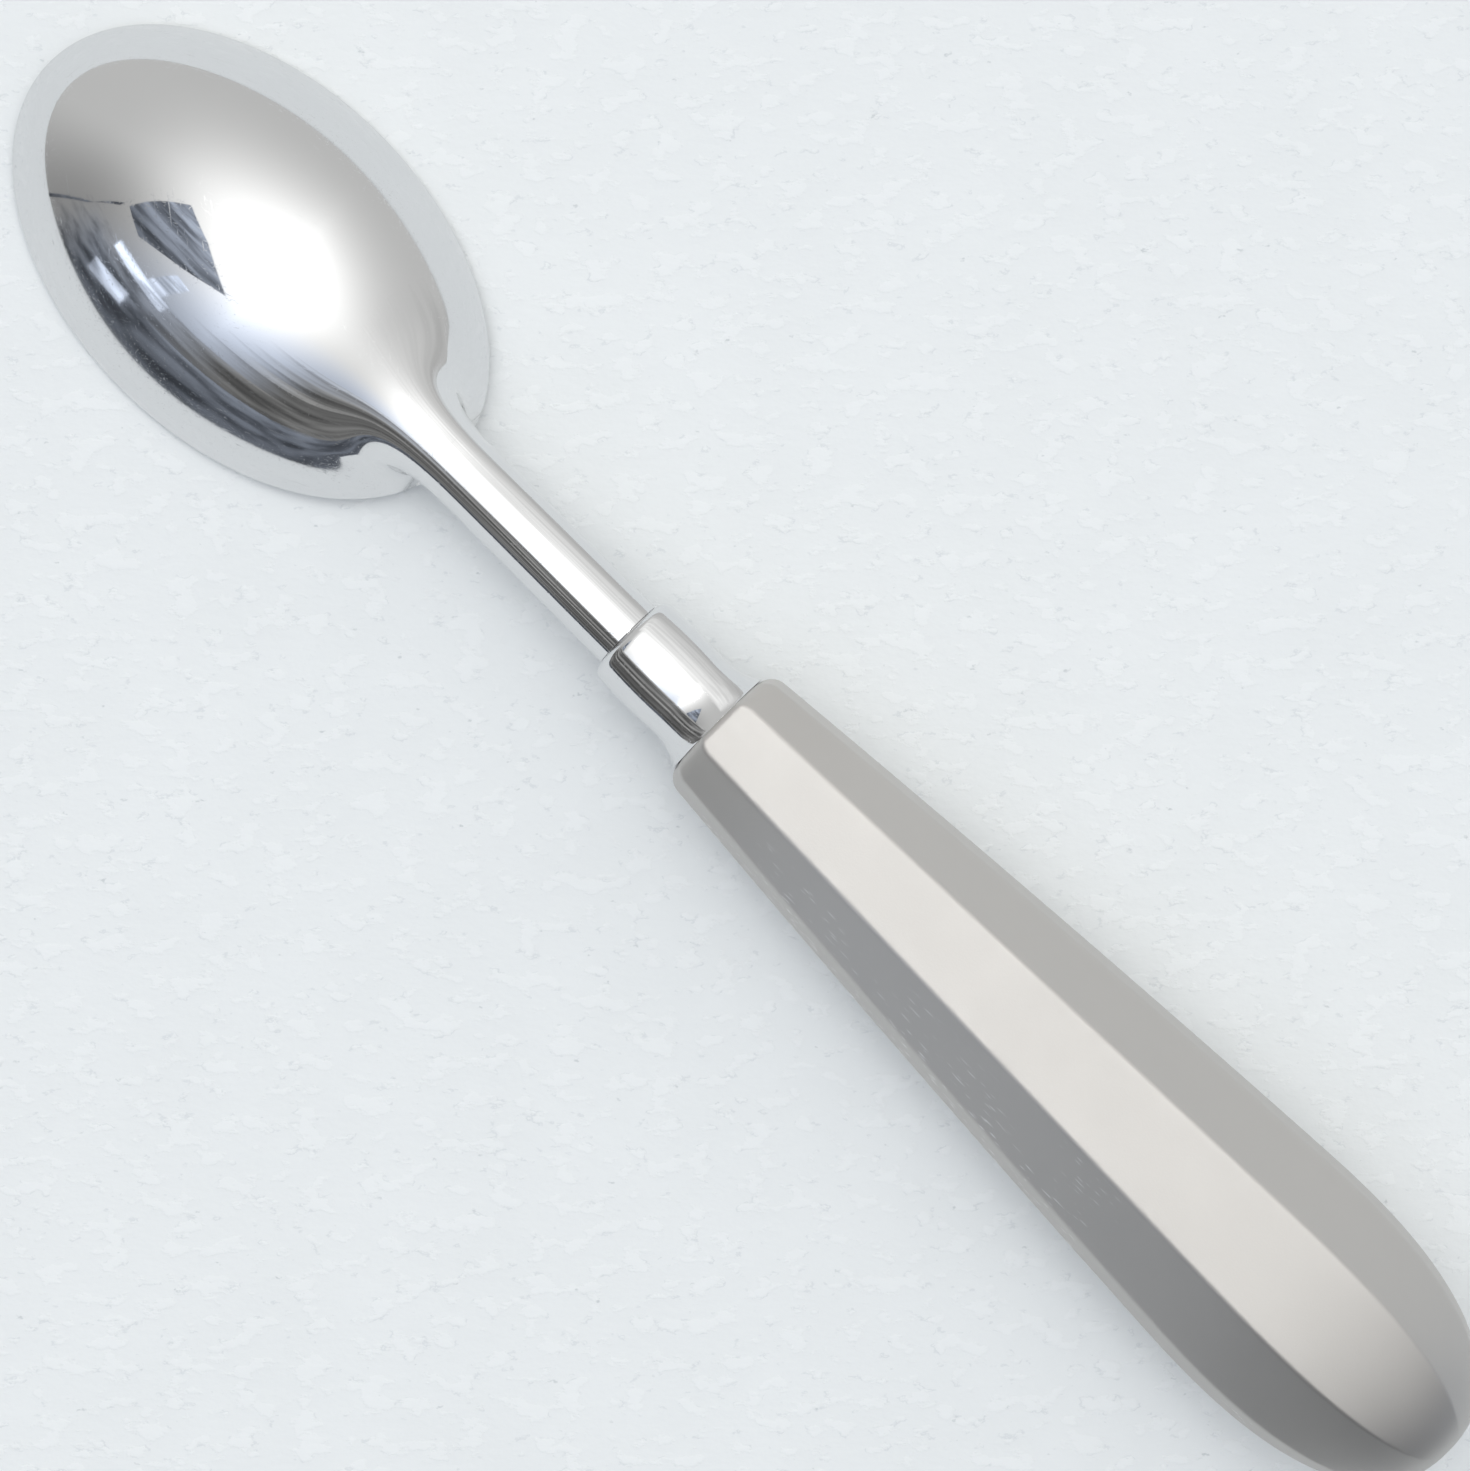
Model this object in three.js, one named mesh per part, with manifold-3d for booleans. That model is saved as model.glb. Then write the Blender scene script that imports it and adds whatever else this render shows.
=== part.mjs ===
// Quenelle spoon with a hollow eight-sided handle, lying face down as it is put on a table.
// Millimetres, +Z up. X runs from the tip of the bowl to the butt of the handle.
// The tip of the rim and the lower flat of the handle rest on Z = 0, and the origin is under the middle.

import * as THREE from 'three';
import { mergeVertices } from 'three/addons/utils/BufferGeometryUtils.js';
import Module from 'manifold-3d';

// Bowl: an oval dome over a round bead that runs along its edge.
const bowlLength = 55.3;
const bowlWidth = 35.4;
const bowlRise = 10.9;
const bowlWall = 1.6;
const rimWidth = 1.1;
const rimLift = 1.2;
const rimCurve = 4;
const endFullness = 0.55;
const sideFullness = -0.05;
const heelFullness = 0.05;

// Neck: a round bar that grows out of the heel of the bowl, then narrows to the tang.
const neckLength = 24.2;
const neckDiameter = 7.2;
const neckEndDiameter = 7.5;
const neckEndRound = 0.4;
const rootBlend = 1.6;
const rimBlend = 0.5;
const rootTaper = 7.3;
const rootSetback = 1.4;
const tangDiameter = 5;
const tangSetback = 20.3;
const tangChamfer = 0.6;

// Ferrule: a turned collar with a slight barrel, a cove at the back and a spigot for the handle's mouth.
const ferruleLength = 12;
const ferruleDiameter = 9.9;
const ferruleBulge = 0.25;
const ferruleFrontRound = 1.2;
const coveLength = 4.2;
const coveDiameter = 12.2;
const coveSweep = 2;
const spigotLength = 6;
const spigotWall = 1.5;

// Handle: two stamped half shells with eight flats, growing towards a rounded butt.
const handleLength = 98.9;
const buttLength = 28.8;
const buttRoundness = 2.4;
const frontWidth = 14.3;
const frontHeight = 14.1;
const frontFlat = 5.9;
const frontSide = 3.75;
const fullWidth = 24.5;
const fullHeight = 17.8;
const fullFlat = 10.2;
const fullSide = 2.65;
const sideBulge = 0.29;
const sideDraft = 0.9;
const edgeRound = 0.35;
const frontSideRound = 1.75;
const frontTopRound = 0.7;
const shellWall = 1;
const fillerCover = 4;

// Clearances: brazed and soldered joints, the tang's bore, and the cement's skin.
const seatGap = 0.1;
const brazeGap = 0.1;
const boreGap = 0.15;
const solderGap = 0.15;
const fillerGap = 0.3;

// How finely curves are cut into flats.
const bowlStations = 34;
const backColumns = 33;
const heelColumns = 10;
const beadSteps = 4;
const hollowRings = 12;
const neckStations = 12;
const neckSpacing = 1.8;
const roundSteps = 4;
const edgeSteps = 2;
const profileSteps = 8;
const latheSides = 48;
const taperSteps = 6;
const buttSteps = 14;
const bisections = 40;

// Values that follow from the sizes above.
const halfLength = bowlLength / 2;
const halfWidth = bowlWidth / 2;
const beadRadius = rimWidth / 2;
const tangRadius = tangDiameter / 2;
const boreRadius = tangRadius + boreGap;
const spigotRadius = boreRadius + spigotWall;
const mouthRadius = spigotRadius + solderGap;
const buttStart = handleLength - buttLength;
const pitch = Math.atan((fullHeight - frontHeight) / 2 / buttStart);
const heelAngle = Math.asin((neckDiameter / 2 + beadRadius) / halfWidth);
const rootEnd = halfLength - rootSetback;

// Distances along the handle's axis, from the handle's front.
const neckEnd = -(ferruleLength + 2 * seatGap);
const neckReach = neckLength - neckEnd;
const spigotEnd = spigotLength - seatGap;
const tangEnd = buttStart - tangSetback;

// The handle's axis in a frame centred on the bowl.
const axisDirection = new THREE.Vector3(Math.cos(pitch), 0, Math.sin(pitch));
const axisUp = new THREE.Vector3(-Math.sin(pitch), 0, Math.cos(pitch));
const across = new THREE.Vector3(0, 1, 0);
const axisOrigin = new THREE.Vector3(
  halfLength + neckReach * Math.cos(pitch), 0, (frontHeight / 2) * Math.cos(pitch));
const buttX = axisOrigin.x + handleLength * axisDirection.x;
const middleX = (buttX - halfLength) / 2;
const upright = new THREE.Vector3(0, 0, 1);

const wasm = await Module();
wasm.setup();

// A skin is a list of points and the triangles between rows of them.
class Skin {
  constructor() {
    this.positions = [];
    this.triangles = [];
  }

  point(p) {
    this.positions.push(p.x, p.y, p.z);
    return this.positions.length / 3 - 1;
  }

  row(points) {
    return points.map((p) => this.point(p));
  }

  // Joins two rows of equal length with a band of triangles.
  band(first, second, closed) {
    const count = closed ? first.length : first.length - 1;
    for (let i = 0; i < count; i += 1) {
      const next = (i + 1) % first.length;
      this.triangles.push(first[i], first[next], second[next]);
      this.triangles.push(first[i], second[next], second[i]);
    }
  }

  // Joins a row to a single point.
  fan(row, tip, closed) {
    const count = closed ? row.length : row.length - 1;
    for (let i = 0; i < count; i += 1) {
      this.triangles.push(row[i], row[(i + 1) % row.length], tip);
    }
  }

  geometry() {
    const geometry = new THREE.BufferGeometry();
    geometry.setAttribute('position', new THREE.Float32BufferAttribute(this.positions, 3));
    geometry.setIndex(this.triangles);
    return geometry;
  }
}

// Joining and cutting closed solids.
function toSolid(geometry) {
  const bare = geometry.clone();
  bare.deleteAttribute('normal');
  bare.deleteAttribute('uv');
  const merged = mergeVertices(bare);
  return new wasm.Manifold(new wasm.Mesh({
    numProp: 3,
    vertProperties: new Float32Array(merged.attributes.position.array),
    triVerts: new Uint32Array(merged.index.array),
  }));
}

function toGeometry(solid) {
  const mesh = solid.getMesh();
  const geometry = new THREE.BufferGeometry();
  geometry.setAttribute('position', new THREE.Float32BufferAttribute(mesh.vertProperties, 3));
  geometry.setIndex(Array.from(mesh.triVerts));
  return geometry;
}

// The underside of the rim climbs gently from the tip to the heel.
function rimHeight(x) {
  const along = (x / halfLength + 1) / 2;
  return rimLift * along ** rimCurve;
}

// Height of an oval dome with half sizes long and wide, standing on the rim's bead.
function domeHeight(x, y, long, wide, rise) {
  const u = x / long;
  const v = y / wide;
  const fullness = 1 + endFullness * u * u + sideFullness * v * v + heelFullness * u;
  return rimHeight(x) + beadRadius + rise * (1 - u * u - v * v) * fullness;
}

function axisHeight(x) {
  return axisOrigin.z - (axisOrigin.x - x) * Math.tan(pitch);
}

// The neck swells towards the ferrule, and dies away inside the bowl.
function neckRadius(x) {
  const along = THREE.MathUtils.clamp((x - halfLength) / neckLength, 0, 1);
  const diameter = THREE.MathUtils.lerp(neckDiameter, neckEndDiameter, along);
  const inside = Math.max(0, rootEnd - x) / halfLength;
  return diameter / 2 - rootTaper * inside * inside;
}

// Below zero inside the bowl's back or the neck. The two melt into each other, broadly on top of the
// neck and tightly down at the rim. The dome is mirrored below the rim, so that it also closes there.
function backField(p) {
  const steepness = Math.SQRT1_2;
  const base = rimHeight(p.x) + beadRadius;
  const top = domeHeight(p.x, p.y, halfLength, halfWidth, bowlRise);
  const dome = (Math.abs(p.z - base) - (top - base)) * steepness;
  const neck = Math.hypot(p.y, p.z - axisHeight(p.x)) - neckRadius(p.x);
  const up = THREE.MathUtils.clamp((p.z - base) / (axisHeight(p.x) - base), 0, 1);
  const blend = THREE.MathUtils.lerp(rimBlend, rootBlend, up);
  const nearest = Math.min(dome, neck);
  const sum = Math.exp((nearest - dome) / blend) + Math.exp((nearest - neck) / blend);
  return nearest - blend * Math.log(sum);
}

// The point where a ray from inside leaves the back.
function leaveBack(from, direction) {
  let inner = 0;
  let outer = bowlLength;
  const p = new THREE.Vector3();
  for (let i = 0; i < bisections; i += 1) {
    const middle = (inner + outer) / 2;
    p.copy(from).addScaledVector(direction, middle);
    if (backField(p) < 0) {
      inner = middle;
    } else {
      outer = middle;
    }
  }
  return p;
}

// The upper edge of the rim's bead at an angle round the bowl, where zero is the heel.
function rimPoint(angle) {
  const reach = new THREE.Vector3(halfLength * Math.cos(angle), halfWidth * Math.sin(angle), 0);
  let inner = 0.5;
  let outer = 1.5;
  const p = new THREE.Vector3();
  for (let i = 0; i < bisections; i += 1) {
    const share = (inner + outer) / 2;
    p.copy(reach).multiplyScalar(share);
    p.z = rimHeight(p.x) + beadRadius;
    if (backField(p) < 0) {
      inner = share;
    } else {
      outer = share;
    }
  }
  return p;
}

// Points of a section of the back, from one angle to another, about a point inside it.
// A lean moves the top of the section towards the bowl and its bottom away from it.
function backArc(center, up, from, to, columns, lean) {
  const points = [];
  for (let i = 0; i <= columns; i += 1) {
    const angle = THREE.MathUtils.lerp(from, to, i / columns);
    const direction = across.clone().multiplyScalar(Math.cos(angle));
    direction.addScaledVector(up, Math.sin(angle));
    const origin = center.clone().addScaledVector(axisDirection, -lean * Math.sin(angle));
    points.push(leaveBack(origin, direction));
  }
  return points;
}

// A round ring about the handle's axis, starting at the same angle as the sections of the neck.
function axisRing(along, radius, start) {
  const count = backColumns + heelColumns;
  const points = [];
  for (let i = 0; i < count; i += 1) {
    const upper = THREE.MathUtils.lerp(start, Math.PI - start, i / backColumns);
    const lower = THREE.MathUtils.lerp(Math.PI - start, 2 * Math.PI + start, (i - backColumns) / heelColumns);
    const angle = i <= backColumns ? upper : lower;
    const p = axisOrigin.clone().addScaledVector(axisDirection, along);
    p.addScaledVector(across, radius * Math.cos(angle));
    p.addScaledVector(axisUp, radius * Math.sin(angle));
    points.push(p);
  }
  return points;
}

function ringOnNeck(along, start, lean) {
  const center = axisOrigin.clone().addScaledVector(axisDirection, along);
  const upper = backArc(center, axisUp, start, Math.PI - start, backColumns, lean);
  const lower = backArc(center, axisUp, Math.PI - start, 2 * Math.PI + start, heelColumns, lean);
  return upper.concat(lower.slice(1, -1));
}

// Angles round the rim, from the tip along one side, behind the heel and back along the other side.
function rimAngles() {
  const angles = [Math.PI];
  for (let i = 1; i <= bowlStations; i += 1) {
    angles.push(THREE.MathUtils.lerp(Math.PI, heelAngle, i / bowlStations));
  }
  for (let i = 1; i < heelColumns; i += 1) {
    angles.push(THREE.MathUtils.lerp(heelAngle, -heelAngle, i / heelColumns));
  }
  for (let i = bowlStations; i >= 1; i -= 1) {
    angles.push(-THREE.MathUtils.lerp(Math.PI, heelAngle, i / bowlStations));
  }
  return angles;
}

// The bowl's back, section by section from the tip to the heel. Returns the last section.
function addBack(skin, edge, rim) {
  let previous = null;
  for (let i = 1; i <= bowlStations; i += 1) {
    const { center, start } = backSection(edge[i]);
    const arc = backArc(center, upright, start, Math.PI - start, backColumns, 0);
    const section = [rim[i], ...skin.row(arc.slice(1, -1)), rim[rim.length - i]];
    if (previous) {
      skin.band(previous, section, false);
    } else {
      skin.fan(section.slice().reverse(), rim[0], false);
    }
    previous = section;
  }
  return previous;
}

// Where a section of the back is looked at from, and the angle at which its rim is seen from there.
function backSection(side) {
  const top = leaveBack(new THREE.Vector3(side.x, 0, side.z), upright);
  const center = new THREE.Vector3(side.x, 0, (side.z + top.z) / 2);
  return { center, start: Math.atan2(side.z - center.z, side.y) };
}

// The neck and the tang, in whole rings. The first one takes in the rim behind the heel.
function addNeck(skin, edge, rim, heelSection) {
  const { start } = backSection(edge[bowlStations]);
  const heelX = rimPoint(0).x;
  const sectionX = edge[bowlStations].x;
  const rootAlong = ((heelX + sectionX) / 2 - axisOrigin.x) / axisDirection.x;
  const rootLean = (heelX - sectionX) / 2;
  const fullAlong = neckEnd - neckEndRound;
  const rings = [];
  for (let i = 1; i <= neckStations; i += 1) {
    const share = (i / neckStations) ** neckSpacing;
    const along = THREE.MathUtils.lerp(rootAlong, fullAlong, share);
    rings.push(ringOnNeck(along, start, rootLean * (1 - share)));
  }
  for (let i = 1; i <= roundSteps; i += 1) {
    const turn = (i / roundSteps) * (Math.PI / 2);
    const radius = neckEndDiameter / 2 - neckEndRound * (1 - Math.cos(turn));
    rings.push(axisRing(fullAlong + neckEndRound * Math.sin(turn), radius, start));
  }
  rings.push(axisRing(neckEnd, tangRadius, start));
  rings.push(axisRing(tangEnd - tangChamfer, tangRadius, start));
  rings.push(axisRing(tangEnd, tangRadius - tangChamfer, start));

  let ring = heelSection.concat(rim.slice(bowlStations + 1, bowlStations + heelColumns).reverse());
  for (const points of rings) {
    const next = skin.row(points);
    skin.band(ring, next, true);
    ring = next;
  }
  skin.fan(ring, skin.point(axisOrigin.clone().addScaledVector(axisDirection, tangEnd)), true);
}

// The inside of the bowl at an angle, from its middle at share 0 to the rim at share 1.
function hollowPoint(angle, share) {
  const long = halfLength - rimWidth;
  const wide = halfWidth - rimWidth;
  const x = share * long * Math.cos(angle);
  const y = share * wide * Math.sin(angle);
  return new THREE.Vector3(x, y, domeHeight(x, y, long, wide, bowlRise - bowlWall));
}

// The bead under the rim, then the hollow of the bowl.
function addHollow(skin, angles, edge, rim) {
  let row = rim;
  for (let i = 1; i < beadSteps; i += 1) {
    const turn = (i / beadSteps) * Math.PI;
    const points = angles.map((angle, j) => {
      const p = edge[j].clone().lerp(hollowPoint(angle, 1), (1 - Math.cos(turn)) / 2);
      p.z -= beadRadius * Math.sin(turn);
      return p;
    });
    const next = skin.row(points);
    skin.band(row, next, true);
    row = next;
  }
  for (let i = 0; i < hollowRings; i += 1) {
    const share = 1 - i / hollowRings;
    const next = skin.row(angles.map((angle) => hollowPoint(angle, share)));
    skin.band(row, next, true);
    row = next;
  }
  skin.fan(row, skin.point(hollowPoint(0, 0)), true);
}

// Spoon head: bowl, neck and tang in one forging.
function spoonHead() {
  const skin = new Skin();
  const angles = rimAngles();
  const edge = angles.map(rimPoint);
  const rim = skin.row(edge);
  const heelSection = addBack(skin, edge, rim);
  addNeck(skin, edge, rim, heelSection);
  addHollow(skin, angles, edge, rim);
  return skin.geometry();
}

// Ferrule: a turned profile, drawn as radius against length.
function ferrule() {
  const radius = ferruleDiameter / 2;
  const coveRadius = coveDiameter / 2;
  const coveStart = ferruleLength - coveLength;
  const barrelMiddle = (ferruleFrontRound + coveStart) / 2;
  const profile = new THREE.Path();
  profile.moveTo(boreRadius, 0);
  profile.lineTo(radius - ferruleFrontRound, 0);
  profile.quadraticCurveTo(radius, 0, radius, ferruleFrontRound);
  profile.quadraticCurveTo(radius + 2 * ferruleBulge, barrelMiddle, radius, coveStart);
  profile.quadraticCurveTo(radius, ferruleLength - coveSweep, coveRadius, ferruleLength);
  profile.lineTo(spigotRadius, ferruleLength);
  profile.lineTo(spigotRadius, ferruleLength + spigotLength);
  profile.lineTo(boreRadius, ferruleLength + spigotLength);
  profile.lineTo(boreRadius, 0);
  const geometry = new THREE.LatheGeometry(profile.getPoints(profileSteps), latheSides);
  geometry.rotateZ(-Math.PI / 2);
  geometry.translate(-(ferruleLength + seatGap), 0, 0);
  return toGeometry(toSolid(geometry));
}

// Corners of the handle's eight flats at a distance from its front. The sides and the top may be set in
// from the outer skin by different amounts, and the slants lie between.
function handleCorners(along, inset, topInset) {
  const share = along / buttStart;
  const bulge = 4 * sideBulge * share * (1 - share);
  const outerWide = THREE.MathUtils.lerp(frontWidth, fullWidth, share) / 2 + bulge;
  const outerHigh = THREE.MathUtils.lerp(frontHeight, fullHeight, share) / 2;
  const outerFlat = THREE.MathUtils.lerp(frontFlat, fullFlat, share) / 2;
  const outerSide = THREE.MathUtils.lerp(frontSide, fullSide, share) - bulge;
  const slant = Math.atan2(outerHigh - outerSide, outerWide - sideDraft - outerFlat);
  const wide = outerWide - inset;
  const high = outerHigh - topInset;
  const slantInset = (inset + topInset) / 2;
  const flat = outerFlat + (topInset * Math.cos(slant) - slantInset) / Math.sin(slant);
  const side = high - (wide - sideDraft - flat) * Math.tan(slant);
  const quarter = [[wide, 0], [wide - sideDraft, side], [flat, high]];
  const left = quarter.map(([y, z]) => [-y, z]).reverse();
  const upper = quarter.concat(left);
  const lower = upper.slice(1, -1).map(([y, z]) => [y, -z]).reverse();
  return { wide, high, corners: upper.concat(lower) };
}

// A section of the handle: its corners are softened, and melt into an oval close to the butt's end.
function handleSection(along, inset, scale, topInset = inset) {
  const { wide, high, corners } = handleCorners(along, inset, topInset);
  const points = [];
  corners.forEach(([y, z], i) => {
    const corner = new THREE.Vector2(y, z);
    const before = new THREE.Vector2(...corners[(i + corners.length - 1) % corners.length]);
    const after = new THREE.Vector2(...corners[(i + 1) % corners.length]);
    const start = before.sub(corner).setLength(edgeRound).add(corner);
    const end = after.sub(corner).setLength(edgeRound).add(corner);
    points.push(...new THREE.QuadraticBezierCurve(start, corner, end).getPoints(edgeSteps));
  });
  const oval = (1 - scale * scale) ** 2;
  return points.map((p) => {
    const toOval = 1 / Math.hypot(p.x / wide, p.y / high);
    const size = scale * THREE.MathUtils.lerp(1, toOval, oval);
    return new THREE.Vector3(along, p.x * size, p.y * size);
  });
}

// Sections between two distances from the front, with no rounding at either end.
function taperSections(from, to, inset) {
  const sections = [];
  for (let i = 0; i <= taperSteps; i += 1) {
    sections.push(handleSection(THREE.MathUtils.lerp(from, to, i / taperSteps), inset, 1));
  }
  return sections;
}

// Sections of the rounded butt, a superellipse in both directions. The last one is a point.
function buttSections(inset) {
  const sections = [];
  for (let i = 1; i < buttSteps; i += 1) {
    const turn = (i / buttSteps) * (Math.PI / 2);
    const along = buttStart + (buttLength - inset) * Math.sin(turn) ** (2 / buttRoundness);
    sections.push(handleSection(along, inset, Math.cos(turn) ** (2 / buttRoundness)));
  }
  return sections;
}

// A closed solid through sections, from a flat front to a flat end or to a point.
function loftSolid(sections, tipAlong) {
  const skin = new Skin();
  const rows = sections.map((points) => skin.row(points));
  const frontTip = skin.point(new THREE.Vector3(sections[0][0].x, 0, 0));
  const endTip = skin.point(new THREE.Vector3(tipAlong, 0, 0));
  skin.fan(rows[0].slice().reverse(), frontTip, true);
  for (let i = 1; i < rows.length; i += 1) {
    skin.band(rows[i - 1], rows[i], true);
  }
  skin.fan(rows[rows.length - 1], endTip, true);
  return toSolid(skin.geometry());
}

// A round bar along the handle's axis.
function axisBar(from, to, radius) {
  const geometry = new THREE.CylinderGeometry(radius, radius, to - from, latheSides);
  geometry.rotateZ(-Math.PI / 2);
  geometry.translate((from + to) / 2, 0, 0);
  return toSolid(geometry);
}

// How far a rounded front edge is set in at a distance from the front.
function edgeInset(along, radius) {
  const ahead = Math.max(0, radius - along);
  return radius - Math.sqrt(radius * radius - ahead * ahead);
}

// The hollow handle before it is parted: outer skin, hollow and the mouth for the ferrule's spigot.
function handleTube() {
  const front = [];
  for (let i = 0; i < roundSteps; i += 1) {
    const turn = (i / roundSteps) * (Math.PI / 2);
    const along = frontSideRound * (1 - Math.cos(turn));
    front.push(handleSection(along, edgeInset(along, frontSideRound), 1, edgeInset(along, frontTopRound)));
  }
  const body = taperSections(frontSideRound, buttStart, 0);
  const outside = loftSolid([...front, ...body, ...buttSections(0)], handleLength);
  const hollow = loftSolid(
    [...taperSections(shellWall, buttStart, shellWall), ...buttSections(shellWall)], handleLength - shellWall);
  const mouth = axisBar(-shellWall, 2 * shellWall, mouthRadius);
  return outside.subtract(hollow).subtract(mouth);
}

// One half of the handle, above or below the brazed seam.
function handleHalf(tube, side) {
  const size = 2 * handleLength;
  const block = new THREE.BoxGeometry(size, size, size);
  block.translate(0, 0, side * (size / 2 + brazeGap / 2));
  return toGeometry(tube.intersect(toSolid(block)));
}

// Cement round the tang, from the ferrule's spigot to just past the end of the tang.
function handleFiller() {
  const front = spigotEnd + fillerGap;
  const back = tangEnd + fillerCover;
  const plug = loftSolid(taperSections(front, back, shellWall + fillerGap), back);
  const bore = axisBar(spigotEnd, tangEnd + fillerGap, tangRadius + fillerGap);
  return toGeometry(plug.subtract(bore));
}

// Finishes.
const mirrorSteel = new THREE.MeshStandardMaterial({ color: 0xd6d8da, roughness: 0.06, metalness: 1 });
const satinSteel = new THREE.MeshStandardMaterial({ color: 0xbab6b0, roughness: 0.42, metalness: 1 });
const cement = new THREE.MeshStandardMaterial({ color: 0x8d877c, roughness: 0.95, metalness: 0 });

function piece(name, geometry, material) {
  const mesh = new THREE.Mesh(geometry, material);
  mesh.name = name;
  return mesh;
}

// Assembly: the ferrule and the handle lie along the tilted axis, and the whole is centred on its length.
const tube = handleTube();
const grip = new THREE.Group();
grip.position.copy(axisOrigin);
grip.rotation.y = -pitch;
grip.add(piece('ferrule', ferrule(), mirrorSteel));
grip.add(piece('handle_upper_shell', handleHalf(tube, 1), satinSteel));
grip.add(piece('handle_lower_shell', handleHalf(tube, -1), satinSteel));
grip.add(piece('handle_filler', handleFiller(), cement));

const spoon = new THREE.Group();
spoon.position.x = -middleX;
spoon.add(piece('spoon_head', spoonHead(), mirrorSteel));
spoon.add(grip);

const part = new THREE.Group();
part.add(spoon);

export default part;
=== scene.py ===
"""Quenelle spoon: mirror polished head and ferrule, satin faceted handle, lying face down on a pale table."""

import math

import bpy
import numpy as np
from mathutils import Matrix, Vector


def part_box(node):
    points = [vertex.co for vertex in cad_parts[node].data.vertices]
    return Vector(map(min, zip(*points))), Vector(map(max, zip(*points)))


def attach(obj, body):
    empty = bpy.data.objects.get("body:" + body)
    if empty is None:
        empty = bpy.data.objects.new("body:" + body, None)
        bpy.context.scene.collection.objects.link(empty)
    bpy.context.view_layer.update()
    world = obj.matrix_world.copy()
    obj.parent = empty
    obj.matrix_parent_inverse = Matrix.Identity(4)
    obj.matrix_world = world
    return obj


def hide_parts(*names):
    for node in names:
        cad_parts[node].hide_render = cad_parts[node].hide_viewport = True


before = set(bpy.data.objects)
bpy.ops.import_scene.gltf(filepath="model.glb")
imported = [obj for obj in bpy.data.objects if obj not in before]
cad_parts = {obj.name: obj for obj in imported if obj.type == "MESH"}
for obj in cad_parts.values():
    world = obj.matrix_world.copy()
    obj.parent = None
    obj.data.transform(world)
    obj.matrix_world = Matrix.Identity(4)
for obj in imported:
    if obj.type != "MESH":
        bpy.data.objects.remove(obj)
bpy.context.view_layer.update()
MM = 0.001

# Bowl: an oval dome over a round bead. Its tip and its width come from the frame.
head_low, head_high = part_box("spoon_head")
BOWL_LENGTH = 55.3 * MM
BOWL_RISE = 10.9 * MM
BOWL_WALL = 1.6 * MM
RIM_WIDTH = 1.1 * MM
RIM_LIFT = 1.2 * MM
RIM_CURVE = 4
END_FULLNESS = 0.55
SIDE_FULLNESS = -0.05
HEEL_FULLNESS = 0.05
HALF_LENGTH = BOWL_LENGTH / 2
HALF_WIDTH = (head_high.y - head_low.y) / 2
BEAD_RADIUS = RIM_WIDTH / 2
BOWL_CENTRE = Vector((head_low.x + HALF_LENGTH, 0, 0))

# Neck and tang.
NECK_DIAMETER = 7.2 * MM
NECK_END_DIAMETER = 7.5 * MM
NECK_END_ROUND = 0.1 * MM
ROOT_BLEND = 1.6 * MM
RIM_BLEND = 0.5 * MM
ROOT_TAPER = 7.3 * MM
ROOT_SETBACK = 1.4 * MM
TANG_RADIUS = 2.5 * MM
TANG_CHAMFER = 0.6 * MM

# Ferrule.
FERRULE_LENGTH = 12 * MM
FERRULE_RADIUS = 4.95 * MM
FERRULE_BULGE = 0.12 * MM
FERRULE_FRONT_ROUND = 1.2 * MM
COVE_LENGTH = 4.2 * MM
COVE_RADIUS = 6.1 * MM
COVE_SWEEP = 2 * MM
SPIGOT_LENGTH = 6 * MM
SPIGOT_WALL = 1.5 * MM
EDGE_BREAK = 0.05 * MM
JOINT_GAP = 0.02 * MM

# Handle: half sizes of its eight-sided section at the front and at the start of the butt.
HANDLE_LENGTH = 98.9 * MM
BUTT_LENGTH = 28.8 * MM
BUTT_START = HANDLE_LENGTH - BUTT_LENGTH
BUTT_ROUNDNESS = 2.4
FRONT_WIDE = 7.15 * MM
FRONT_HIGH = 7.05 * MM
FRONT_FLAT = 2.95 * MM
FRONT_SIDE = 3.75 * MM
FULL_WIDE = 12.25 * MM
FULL_HIGH = 8.9 * MM
FULL_FLAT = 5.1 * MM
FULL_SIDE = 2.65 * MM
SIDE_BULGE = 0.29 * MM
SIDE_DRAFT = 0.9 * MM
EDGE_ROUND = 0.35 * MM
FRONT_SIDE_ROUND = 1.75 * MM
FRONT_TOP_ROUND = 0.7 * MM
SHELL_WALL = 1 * MM

# Clearances.
SEAT_GAP = 0.1 * MM
BRAZE_GAP = 0.1 * MM
BORE_GAP = 0.15 * MM
SOLDER_GAP = 0.15 * MM
BORE_RADIUS = TANG_RADIUS + BORE_GAP
SPIGOT_RADIUS = BORE_RADIUS + SPIGOT_WALL
MOUTH_RADIUS = SPIGOT_RADIUS + SOLDER_GAP

# The axis of the neck, ferrule and handle. It climbs so that the handle's lower flat lies on the table.
PITCH = math.atan((FULL_HIGH - FRONT_HIGH) / BUTT_START)
NECK_END = -(FERRULE_LENGTH + 2 * SEAT_GAP)
TANG_END = (head_high.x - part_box("handle_upper_shell")[0].x) / math.cos(PITCH)
AXIS = np.array((math.cos(PITCH), 0, math.sin(PITCH)))
AXIS_UP = np.array((-math.sin(PITCH), 0, math.cos(PITCH)))
ACROSS = np.array((0.0, 1.0, 0.0))
UPRIGHT = np.array((0.0, 0.0, 1.0))
butt_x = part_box("handle_upper_shell")[1].x
AXIS_ORIGIN = np.array((butt_x - BOWL_CENTRE.x - HANDLE_LENGTH * AXIS[0], 0, FRONT_HIGH * math.cos(PITCH)))
NECK_LENGTH = AXIS_ORIGIN[0] / AXIS[0] - HALF_LENGTH / AXIS[0] + NECK_END

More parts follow.
